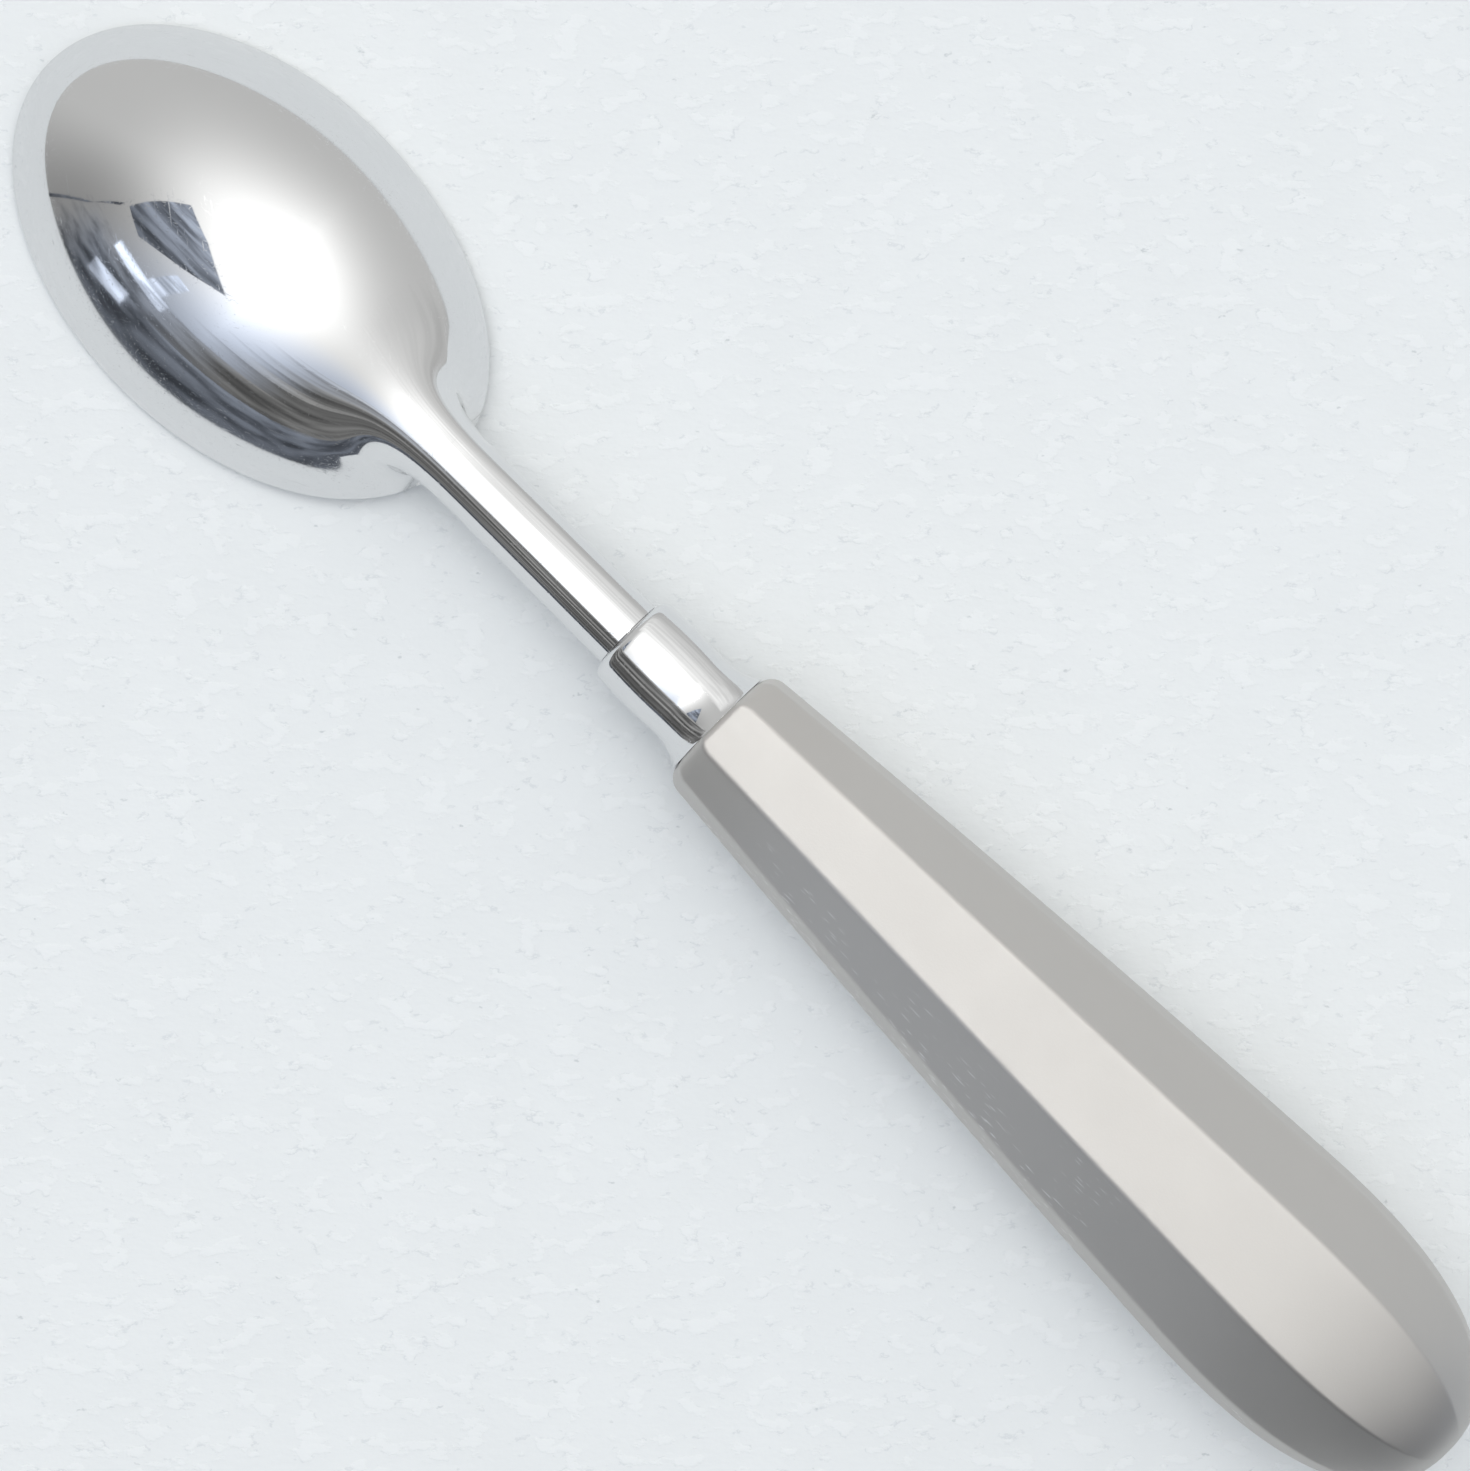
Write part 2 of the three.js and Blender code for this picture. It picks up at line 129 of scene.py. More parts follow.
# How finely curves are cut.
BOWL_STATIONS = 120
BACK_COLUMNS = 120
HEEL_COLUMNS = 40
NECK_STATIONS = 70
NECK_SPACING = 1.8
BEAD_STEPS = 12
HOLLOW_RINGS = 48
ROUND_STEPS = 8
LONG_STEPS = 24
FRONT_STEPS = 20
EDGE_STEPS = 6
FLAT_STEPS = 10
TAPER_STEPS = 36
BUTT_STEPS = 60
LATHE_SIDES = 160
BISECTIONS = 44

# Edges stay crisp where faces meet at more than these angles, in degrees.
CREASE = 40
HANDLE_CREASE = 30

# Scratches on the handle begin between these places across it.
SCRATCHED_SIDE = (-5.5 * MM, -4.5 * MM)

# Table, and the direction of its grain in degrees.
TABLE_REACH = 12
GRAIN_ANGLE = 45

# Surroundings: a wall that is light on one side, dark and cool on the other, under an overhead glow.
# Turns, middle and reaches are parts of a unit direction, towards the light side or along the spoon.
WHITE = (1, 1, 0.99, 1)
COOL = (0.86, 0.96, 1.15, 1)
LIGHT_SIDE = (-0.45, 0.55, 0)
WALL_TURNS = (-0.2, 0.42)
WALL_TONES = (0.3, 0.62)
COOL_TURNS = (-0.5, -0.1)
GLOW = 1.82
GLOW_MIDDLE = -0.07
GLOW_TO_TIP = -1.14
GLOW_TO_BUTT = 1.07
GLOW_FADE = 3.4
GLOW_HEIGHT = 2.0

# Streaks on the cards that only reflections show: the range of noise, their stretch and their contrast.
STREAK_RANGE = (0.3, 0.7)
STREAK_STRETCH = 10
STREAK_CONTRAST = 0.6

# Cards round the bowl: colour, tones, distance and corners.
# Corners are in degrees from straight above the bowl, along the spoon and sideways.
BOWL_CARDS = {
    "soft_box": (WHITE, (9, 9), 1.4, [(-14, -1), (-4, -1), (-4, 17), (-14, 17)]),
    "dark_flag": (COOL, (0.14, 0.42), 0.25,
                  [(-22, -3), (-15, -15), (-7, -35), (-15, -42), (-27, -48), (-34, -38), (-29, -21)]),
    "light_bar_upper": (COOL, (1.0, 1.1), 0.7, [(-29, -56), (-13, -64), (-14, -69), (-30, -62)]),
    "light_bar_lower": (COOL, (0.75, 0.9), 0.7, [(-33, -72), (-21, -73), (-22, -79), (-34, -78)]),
    "light_bar_upright": (COOL, (1.1, 1.2), 0.66, [(-15, -47), (-12, -49), (-16, -67), (-20, -64)]),
    "dark_corner": (COOL, (0.1, 0.14), 0.9,
                    [(-34, -38), (-35, -42), (-45, -56), (-62, -70), (-61, -67), (-43, -53)]),
}
BOWL_STREAKS = 12

# A far dark side and a near dark screen round the butt: places on the table with the height there.
FAR_SIDE = [(-0.95, -1.0, 0.66), (-0.3, -1.3, 0.66), (0.2, -1.4, 0.66), (0.9, -1.2, 0.66)]
FAR_TONES = (0.1, 0.3)
FAR_STREAKS = 14
FAR_FADE = (0.4, 0.4)
SCREEN = [(0.065, -0.115, 0.3), (0.15, -0.07, 0.3), (0.24, 0.02, 0.11), (0.26, 0.12, 0.12),
          (0.2, 0.22, 0.2)]
SCREEN_TONES = (0.05, 0.08, 0.34, 0.34)
SCREEN_STREAKS = 70

# A pale card over the butt.
BUTT_CARD = [(0.21, -0.2, 0.52), (0.44, -0.2, 0.5), (0.44, 0.2, 0.5), (0.21, 0.2, 0.52)]
BUTT_TONE = 1.3

# Dark strips close beside the neck and ferrule: the angle from upright at which each starts, and its tone.
# Low down they reach further towards the bowl.
STRIPS = [(34, 0.6), (37, 0.24), (45.5, 0.29), (51, 0.14), (55, 0.34), (59.5, 0.12), (67, 0.2)]
STRIPS_END = 78.5
STRIP_DISTANCE = 30 * MM
STRIP_FROM = -48 * MM
STRIP_SPREAD = -0.6 * MM
STRIP_TO = 8 * MM
STRIP_STREAKS = 400
STRIP_FADE = (0.1 * MM, 22 * MM)

# A pale card on the other side of the neck: the angles from upright of its bends.
PALE_BENDS = (-24, -38, -52, -66, -80, -92)
PALE_TONES = (0.5, 1.14)
PALE_FROM = -46 * MM
PALE_TO = 10 * MM
PALE_FADE = (3 * MM, 16 * MM)
PALE_CONTRAST = 0.12

# Soft lamps at the light side and off both ends of the spoon: their places, and whether they cast shadows.
# Reflections do not show them.
LAMPS = {
    "side_lamp": (Vector((-0.4, 0.25, 1.1)), False),
    "tip_lamp": (Vector((-1.0, 0.0, 0.8)), True),
    "butt_lamp": (Vector((1.0, 0.0, 0.8)), True),
}
LAMP_SIZE = 0.6
LAMP_POWER = 1.9

# Camera: above the table and a little to one side, turned so that the spoon runs to the lower right.
PHOTO_WIDTH = 1470
TABLE_PER_PIXEL = 0.0975 * MM
CAMERA_HEIGHT = 0.62
CAMERA_AIM = Vector((-0.00167, 0.00066, 0))
CAMERA_SIDESTEP = -0.0235
SPOON_ANGLE = math.radians(44.94)


class Skin:
    """Points, and the faces between rows of them."""

    def __init__(self):
        self.points = []
        self.faces = []

    def row(self, points):
        start = len(self.points)
        self.points.extend(tuple(p) for p in points)
        return list(range(start, len(self.points)))

    def band(self, first, second, closed=False):
        count = len(first) if closed else len(first) - 1
        for i in range(count):
            n = (i + 1) % len(first)
            self.faces.append((first[i], first[n], second[n], second[i]))

    def fan(self, row, tip, closed=True):
        count = len(row) if closed else len(row) - 1
        for i in range(count):
            self.faces.append((row[i], row[(i + 1) % len(row)], tip))

    def piece(self, name, material, place, crease=CREASE):
        mesh = bpy.data.meshes.new(name)
        mesh.from_pydata(self.points, [], self.faces)
        mesh.transform(place)
        mesh.update()
        mesh.shade_smooth()
        mesh.set_sharp_from_angle(angle=math.radians(crease))
        mesh.materials.append(material)
        obj = bpy.data.objects.new(name, mesh)
        bpy.context.scene.collection.objects.link(obj)
        return obj


def blend(a, b, share):
    return a + (b - a) * share


# The shape of the head.
def rim_height(x):
    return RIM_LIFT * ((x / HALF_LENGTH + 1) / 2) ** RIM_CURVE


def dome_height(x, y, long, wide, rise):
    u = x / long
    v = y / wide
    fullness = 1 + END_FULLNESS * u * u + SIDE_FULLNESS * v * v + HEEL_FULLNESS * u
    return rim_height(x) + BEAD_RADIUS + rise * (1 - u * u - v * v) * fullness


def axis_height(x):
    return AXIS_ORIGIN[2] - (AXIS_ORIGIN[0] - x) * math.tan(PITCH)


def neck_radius(x):
    along = np.clip((x - HALF_LENGTH) / NECK_LENGTH, 0, 1)
    inside = np.maximum(0, HALF_LENGTH - ROOT_SETBACK - x) / HALF_LENGTH
    return blend(NECK_DIAMETER, NECK_END_DIAMETER, along) / 2 - ROOT_TAPER * inside * inside


def back_field(points):
    """Below zero inside the bowl's back or the neck, which melt into each other."""
    x, y, z = points[..., 0], points[..., 1], points[..., 2]
    base = rim_height(x) + BEAD_RADIUS
    top = dome_height(x, y, HALF_LENGTH, HALF_WIDTH, BOWL_RISE)
    dome = (np.abs(z - base) - (top - base)) * math.sqrt(0.5)
    neck = np.hypot(y, z - axis_height(x)) - neck_radius(x)
    up = np.clip((z - base) / (axis_height(x) - base), 0, 1)
    soft = blend(RIM_BLEND, ROOT_BLEND, up)
    near = np.minimum(dome, neck)
    return near - soft * np.log(np.exp((near - dome) / soft) + np.exp((near - neck) / soft))


def leave_back(origins, directions):
    """Where rays from inside leave the back."""
    inner = np.zeros(len(directions))
    outer = np.full(len(directions), BOWL_LENGTH)
    for _ in range(BISECTIONS):
        middle = (inner + outer) / 2
        inside = back_field(origins + directions * middle[:, None]) < 0
        inner = np.where(inside, middle, inner)
        outer = np.where(inside, outer, middle)
    return origins + directions * outer[:, None]


def rim_points(angles):
    """The upper edge of the rim's bead, at angles round the bowl where zero is the heel."""
    reach = np.stack((HALF_LENGTH * np.cos(angles), HALF_WIDTH * np.sin(angles)), -1)
    inner = np.full(len(angles), 0.5)
    outer = np.full(len(angles), 1.5)
    for _ in range(BISECTIONS):
        share = (inner + outer) / 2
        flat = reach * share[:, None]
        points = np.column_stack((flat, rim_height(flat[:, 0]) + BEAD_RADIUS))
        inside = back_field(points) < 0
        inner = np.where(inside, share, inner)
        outer = np.where(inside, outer, share)
    return points


def back_arc(centre, up, angles, lean):
    """Points of a section of the back. A lean moves its top towards the bowl."""
    directions = np.outer(np.cos(angles), ACROSS) + np.outer(np.sin(angles), up)
    origins = centre - np.outer(lean * np.sin(angles), AXIS)
    return leave_back(origins, directions)


def neck_angles(start):
    upper = np.linspace(start, math.pi - start, BACK_COLUMNS + 1)
    lower = np.linspace(math.pi - start, 2 * math.pi + start, HEEL_COLUMNS + 1)
    return np.concatenate((upper, lower[1:-1]))


def axis_ring(along, radius, angles):
    ring = np.outer(np.cos(angles), ACROSS) + np.outer(np.sin(angles), AXIS_UP)
    return AXIS_ORIGIN + along * AXIS + radius * ring


def section_view(side):
    """Where a section of the back is looked at from, and the angle at which its rim is seen from there."""
    top = leave_back(np.array([[side[0], 0, side[2]]]), UPRIGHT[None])[0]
    centre = np.array((side[0], 0, (side[2] + top[2]) / 2))
    return centre, math.atan2(side[2] - centre[2], side[1])


def add_back(skin, edge, rim):
    previous = None
    for i in range(1, BOWL_STATIONS + 1):
        centre, start = section_view(edge[i])
        angles = np.linspace(start, math.pi - start, BACK_COLUMNS + 1)
        arc = back_arc(centre, UPRIGHT, angles, 0)
        section = [rim[i]] + skin.row(arc[1:-1]) + [rim[len(rim) - i]]
        if previous:
            skin.band(previous, section)
        else:
            skin.fan(section[::-1], rim[0], False)
        previous = section
    return previous


def add_neck(skin, edge, rim, heel_section):
    start = section_view(edge[BOWL_STATIONS])[1]
    angles = neck_angles(start)
    heel_x = rim_points(np.zeros(1))[0, 0]
    section_x = edge[BOWL_STATIONS, 0]
    root_along = ((heel_x + section_x) / 2 - AXIS_ORIGIN[0]) / AXIS[0]
    root_lean = (heel_x - section_x) / 2
    full_along = NECK_END - NECK_END_ROUND
    rings = []
    for i in range(1, NECK_STATIONS + 1):
        share = (i / NECK_STATIONS) ** NECK_SPACING
        centre = AXIS_ORIGIN + AXIS * blend(root_along, full_along, share)
        rings.append(back_arc(centre, AXIS_UP, angles, root_lean * (1 - share)))
    for turn in np.linspace(0, math.pi / 2, ROUND_STEPS + 1)[1:]:
        radius = NECK_END_DIAMETER / 2 - NECK_END_ROUND * (1 - math.cos(turn))
        rings.append(axis_ring(full_along + NECK_END_ROUND * math.sin(turn), radius, angles))
    rings.append(axis_ring(NECK_END, TANG_RADIUS, angles))
    rings.append(axis_ring(TANG_END - TANG_CHAMFER, TANG_RADIUS, angles))
    rings.append(axis_ring(TANG_END, TANG_RADIUS - TANG_CHAMFER, angles))
    ring = heel_section + rim[BOWL_STATIONS + 1:BOWL_STATIONS + HEEL_COLUMNS][::-1]
    for points in rings:
        row = skin.row(points)
        skin.band(ring, row, True)
        ring = row
    skin.fan(ring, skin.row([AXIS_ORIGIN + TANG_END * AXIS])[0])


def hollow_points(angles, share):
    long = HALF_LENGTH - RIM_WIDTH
    wide = HALF_WIDTH - RIM_WIDTH
    x = share * long * np.cos(angles)
    y = share * wide * np.sin(angles)
    return np.column_stack((x, y, dome_height(x, y, long, wide, BOWL_RISE - BOWL_WALL)))


def add_hollow(skin, angles, edge, rim):
    row = rim
    inner = hollow_points(angles, 1)
    for turn in np.linspace(0, math.pi, BEAD_STEPS + 1)[1:-1]:
        points = blend(edge, inner, (1 - math.cos(turn)) / 2) - UPRIGHT * BEAD_RADIUS * math.sin(turn)
        bead = skin.row(points)
        skin.band(row, bead, True)
        row = bead
    for i in range(HOLLOW_RINGS):
        ring = skin.row(hollow_points(angles, 1 - i / HOLLOW_RINGS))
        skin.band(row, ring, True)
        row = ring
    skin.fan(row, skin.row(hollow_points(np.zeros(1), 0))[0])


def build_head(material):
    skin = Skin()
    heel = math.asin((NECK_DIAMETER / 2 + BEAD_RADIUS) / HALF_WIDTH)
    side = np.linspace(math.pi, heel, BOWL_STATIONS + 1)
    behind = np.linspace(heel, -heel, HEEL_COLUMNS + 1)[1:-1]
    angles = np.concatenate((side, behind, -side[:0:-1]))
    edge = rim_points(angles)
    rim = skin.row(edge)
    heel_section = add_back(skin, edge, rim)
    add_neck(skin, edge, rim, heel_section)
    add_hollow(skin, angles, edge, rim)
    return skin.piece("polished_head", material, Matrix.Translation(BOWL_CENTRE))


# Curves for profiles: lists of (along, radius) or (across, up) pairs.
def bend(start, corner, end, steps):
    """A curve from start to end that heads for the corner. Leaves out its first point."""
    start, corner, end = np.array(start), np.array(corner), np.array(end)
    shares = np.linspace(0, 1, steps + 1)[1:, None]
    return list(blend(blend(start, corner, shares), blend(corner, end, shares), shares))


def build_ferrule(material):
    front = JOINT_GAP - SEAT_GAP
    rear = FERRULE_LENGTH + SEAT_GAP - JOINT_GAP
    barrel_start = front + FERRULE_FRONT_ROUND
    cove_start = FERRULE_LENGTH - COVE_LENGTH
    barrel_middle = (barrel_start + cove_start) / 2
    spigot_end = FERRULE_LENGTH + SPIGOT_LENGTH
    radius = FERRULE_RADIUS
    profile = [np.array((front, BORE_RADIUS)), np.array((front, radius - FERRULE_FRONT_ROUND))]
    profile += bend(profile[-1], (front, radius), (barrel_start, radius), ROUND_STEPS)
    barrel_top = (barrel_middle, radius + 2 * FERRULE_BULGE)
    profile += bend(profile[-1], barrel_top, (cove_start, radius), LONG_STEPS)
    barrel_fall = 2 * FERRULE_BULGE / (cove_start - barrel_middle)
    waist = rear - COVE_SWEEP
    waist_corner = (waist, radius - barrel_fall * (waist - cove_start))
    lip = (rear - EDGE_BREAK, COVE_RADIUS - EDGE_BREAK)
    profile += bend(profile[-1], waist_corner, lip, LONG_STEPS)
    profile += bend(profile[-1], (rear, COVE_RADIUS), (rear, COVE_RADIUS - EDGE_BREAK), EDGE_STEPS)
    profile += [np.array((rear, SPIGOT_RADIUS)), np.array((spigot_end, SPIGOT_RADIUS))]
    profile += [np.array((spigot_end, BORE_RADIUS))]
    angles = np.linspace(0, 2 * math.pi, LATHE_SIDES, endpoint=False)
    skin = Skin()
    rows = [skin.row(axis_ring(NECK_END + SEAT_GAP + along, r, angles)) for along, r in profile]
    for first, second in zip(rows, rows[1:] + rows[:1]):
        skin.band(first, second, True)
    return skin.piece("turned_ferrule", material, Matrix.Translation(BOWL_CENTRE))


# The handle's section, from the seam on one side over the top to the seam on the other side.
def half_section(along, inset, top_inset):
    share = along / BUTT_START
    bulge = 4 * SIDE_BULGE * share * (1 - share)
    outer_wide = blend(FRONT_WIDE, FULL_WIDE, share) + bulge
    outer_high = blend(FRONT_HIGH, FULL_HIGH, share)
    outer_flat = blend(FRONT_FLAT, FULL_FLAT, share)
    outer_side = blend(FRONT_SIDE, FULL_SIDE, share) - bulge
    slant = math.atan2(outer_high - outer_side, outer_wide - SIDE_DRAFT - outer_flat)
    wide = outer_wide - inset
    high = outer_high - top_inset
    slant_inset = (inset + top_inset) / 2
    flat = outer_flat + (top_inset * math.cos(slant) - slant_inset) / math.sin(slant)
    side = high - (wide - SIDE_DRAFT - flat) * math.tan(slant)
    seam = np.array((wide - SIDE_DRAFT * BRAZE_GAP / 2 / side, BRAZE_GAP / 2))
    corners = [seam, np.array((wide - SIDE_DRAFT, side)), np.array((flat, high)), np.array((-flat, high))]
    points = [seam]
    for i in (1, 2):
        before, corner, after = corners[i - 1], corners[i], corners[i + 1]
        start = corner + (before - corner) / np.linalg.norm(before - corner) * EDGE_ROUND
        end = corner + (after - corner) / np.linalg.norm(after - corner) * EDGE_ROUND
        points += flat_steps(points[-1], start)
        points += bend(start, corner, end, EDGE_STEPS)
    points += flat_steps(points[-1], points[-1] * np.array((-1, 1)))
    half = len(points) - FLAT_STEPS
    points = points[:-1] + [p * np.array((-1, 1)) for p in points[:half][::-1]]
    return np.array(points), wide, high


def flat_steps(start, end):
    """Points along a flat, closer together at its edges. Leaves out the first point."""
    shares = (1 - np.cos(np.linspace(0, math.pi, FLAT_STEPS + 1)[1:])) / 2
    return list(blend(start, end, shares[:, None]))


def edge_inset(along, radius):
    """How far a rounded front edge is set in at a distance from the front."""
    ahead = max(0, radius - along)
    return radius - math.sqrt(radius * radius - ahead * ahead)


def handle_row(along, inset, top_inset, scale, side):
    """A row of points across one half of the handle, in the handle's own frame."""
    points, wide, high = half_section(along, inset, top_inset)
    to_oval = 1 / np.hypot(points[:, 0] / wide, points[:, 1] / high)
    size = scale * blend(1, to_oval, (1 - scale * scale) ** 2)
    y = points[:, 0] * size
    z = np.maximum(points[:, 1] * size, BRAZE_GAP / 2)
    return np.column_stack((np.full(len(y), along), y, side * z))


def mouth_row(along, side):
    points = half_section(0, FRONT_SIDE_ROUND, FRONT_TOP_ROUND)[0]
    turn = np.arctan2(points[:, 1], points[:, 0])
    lowest = math.asin(BRAZE_GAP / 2 / MOUTH_RADIUS)
    turn = np.clip(turn, lowest, math.pi - lowest)
    y = MOUTH_RADIUS * np.cos(turn)
    return np.column_stack((np.full(len(y), along), y, side * MOUTH_RADIUS * np.sin(turn)))


def half_rows(inset, side):
    """Rows of one skin of a half shell, from the mouth to the butt, without the last point."""
    rows = [mouth_row(inset, side)]
    if inset:
        front = inset
    else:
        for turn in np.linspace(0, math.pi / 2, FRONT_STEPS + 1)[:-1]:
            along = FRONT_SIDE_ROUND * (1 - math.cos(turn))
            insets = edge_inset(along, FRONT_SIDE_ROUND), edge_inset(along, FRONT_TOP_ROUND)
            rows.append(handle_row(along, *insets, 1, side))
        front = FRONT_SIDE_ROUND
    for along in np.linspace(front, BUTT_START, TAPER_STEPS + 1):
        rows.append(handle_row(along, inset, inset, 1, side))
    for turn in np.linspace(0, math.pi / 2, BUTT_STEPS + 1)[1:-1]:
        along = BUTT_START + (BUTT_LENGTH - inset) * math.sin(turn) ** (2 / BUTT_ROUNDNESS)
        rows.append(handle_row(along, inset, inset, math.cos(turn) ** (2 / BUTT_ROUNDNESS), side))
    return rows


def build_half(name, material, side):
    skin = Skin()
    seam_loop = []
    first_rows = []
    for inset, facing in ((0, side), (SHELL_WALL, -side)):
        rows = [skin.row(points) for points in half_rows(inset, side)]
        tip = skin.row([(HANDLE_LENGTH - inset, 0, side * BRAZE_GAP / 2)])[0]
        for first, second in zip(rows, rows[1:]):
            skin.band(first[::facing], second[::facing])
        skin.fan(rows[-1][::facing], tip, False)
        left = [row[0] for row in rows]
        right = [row[-1] for row in rows]
        first_rows.append(rows[0])
        seam_loop.append(left + [tip] + right[::-1])
    skin.band(first_rows[0][::-side], first_rows[1][::-side])
    loop = seam_loop[0] + seam_loop[1][::-1]
    skin.faces.append(tuple(loop[::-side]))
    place = Matrix.Translation(BOWL_CENTRE + Vector(AXIS_ORIGIN)) @ Matrix.Rotation(-PITCH, 4, "Y")
    return skin.piece(name, material, place, HANDLE_CREASE)


# Node helpers.
def add_node(tree, kind, inputs=None, **settings):
    node = tree.nodes.new(kind)
    for key, value in settings.items():
        setattr(node, key, value)
    for key, value in (inputs or {}).items():
        if isinstance(value, bpy.types.NodeSocket):
            tree.links.new(value, node.inputs[key])
        else:
            node.inputs[key].default_value = value
    return node


def new_material(name, **values):
    material = bpy.data.materials.new(name)
    material.use_nodes = True
    shader = material.node_tree.nodes["Principled BSDF"]
    for key, value in values.items():
        shader.inputs[key.replace("_", " ")].default_value = value
    return material, material.node_tree, shader


def map_range(tree, value, low, high, to_low, to_high, smooth=True):
    inputs = {"Value": value, "From Min": low, "From Max": high, "To Min": to_low, "To Max": to_high}
    kind = "SMOOTHSTEP" if smooth else "LINEAR"
    return add_node(tree, "ShaderNodeMapRange", inputs, interpolation_type=kind).outputs["Result"]


def math_node(tree, operation, a, b):
    return add_node(tree, "ShaderNodeMath", {0: a, 1: b}, operation=operation).outputs[0]


def product(tree, a, b):
    return math_node(tree, "MULTIPLY", a, b)


def mix_colour(tree, share, a, b):
    node = add_node(tree, "ShaderNodeMix", data_type="RGBA")
    for index, value in ((0, share), (6, a), (7, b)):
        if isinstance(value, bpy.types.NodeSocket):
            tree.links.new(value, node.inputs[index])
        else:
            node.inputs[index].default_value = value
    return node.outputs[2]


def place_coordinates(tree, scale, turn=0):
    """Places on an object, turned by an angle in degrees about the upright and then scaled."""
    place = add_node(tree, "ShaderNodeTexCoord").outputs["Object"]
    unit = tuple(1 / value for value in scale)
    inputs = {"Vector": place, "Rotation": (0, 0, math.radians(turn)), "Scale": unit}
    return add_node(tree, "ShaderNodeMapping", inputs, vector_type="TEXTURE").outputs[0]


def noise(tree, vector, scale, detail=2.0, roughness=0.5):
    inputs = {"Vector": vector, "Scale": scale, "Detail": detail, "Roughness": roughness}
    return add_node(tree, "ShaderNodeTexNoise", inputs).outputs["Fac"]


def hairlines(tree, turn, across, along, low, high):
    """Thin lines: a noise that is drawn out along one direction, with only its peaks kept."""
    vector = place_coordinates(tree, (along, across, across), turn)
    return map_range(tree, noise(tree, vector, 1.0, 1.0), low, high, 0, 1)


def dress(tree, shader, colour, height, strength, distance, rough=None):
    """Connect a colour, a bump and perhaps a roughness to a shader."""
    tree.links.new(colour, shader.inputs["Base Color"])
    bump = add_node(tree, "ShaderNodeBump", {"Height": height, "Strength": strength, "Distance": distance})
    tree.links.new(bump.outputs[0], shader.inputs["Normal"])
    if rough:
        tree.links.new(rough, shader.inputs["Roughness"])


# Mirror polished stainless steel, with hairlines left by wiping in three directions.
def polished_steel():
    material, tree, shader = new_material("polished_steel", Metallic=1.0)
    cloud = noise(tree, place_coordinates(tree, (1, 1, 1)), 60, 3)
    colour = mix_colour(tree, cloud, (0.735, 0.74, 0.745, 1), (0.785, 0.785, 0.785, 1))
    first = hairlines(tree, 24, 7200, 90, 0.66, 0.78)
    second = hairlines(tree, -38, 6600, 80, 0.67, 0.79)
    third = hairlines(tree, 82, 7600, 100, 0.68, 0.8)
    lines = math_node(tree, "MAXIMUM", math_node(tree, "MAXIMUM", first, second), third)
    rough = map_range(tree, cloud, 0.3, 0.7, 0.035, 0.06)
    rough = math_node(tree, "ADD", rough, product(tree, lines, 0.2))
    dress(tree, shader, colour, lines, 0.03, 0.02 * MM, rough)
    return material


# Satin stainless steel: a fine blasted grain, faint clouds and a few long scratches on one side, whose pale
# colour is a painted glint.
def satin_steel():
    material, tree, shader = new_material("satin_steel", Metallic=1.0)
    place = place_coordinates(tree, (1, 1, 1))
    cloud = noise(tree, place_coordinates(tree, (1, 1.6, 1.6)), 100, 6, 0.68)
    grain = noise(tree, place, 5200, 2)
    across = add_node(tree, "ShaderNodeSeparateXYZ", {0: place}).outputs["Y"]
    side = map_range(tree, across, *SCRATCHED_SIDE, 1, 0)
    patches = product(tree, map_range(tree, noise(tree, place, 60, 2), 0.46, 0.54, 0, 1), side)
    scratch_and_glint = product(tree, hairlines(tree, 1, 7000, 40, 0.68, 0.74), patches)
    colour = mix_colour(tree, cloud, (0.587, 0.571, 0.551, 1), (0.619, 0.603, 0.582, 1))
    # The scratches are real wear, but their near-white colour is a painted glint.
    colour = mix_colour(tree, scratch_and_glint, colour, (0.94, 0.93, 0.92, 1))
    rough = map_range(tree, cloud, 0.3, 0.7, 0.535, 0.565)
    rough = math_node(tree, "SUBTRACT", rough, product(tree, scratch_and_glint, 0.12))
    height = math_node(tree, "SUBTRACT", grain, product(tree, scratch_and_glint, 0.6))
    dress(tree, shader, colour, height, 0.25, 0.03 * MM, rough)
    return material


# Cement inside the handle: rough, with sand grains.
def cement():
    material, tree, shader = new_material("cement", Roughness=0.95)
    sand = noise(tree, place_coordinates(tree, (1, 1, 1)), 1400, 4, 0.6)
    colour = mix_colour(tree, sand, (0.19, 0.18, 0.155, 1), (0.34, 0.32, 0.28, 1))
    dress(tree, shader, colour, sand, 0.6, 0.3 * MM)
    return material


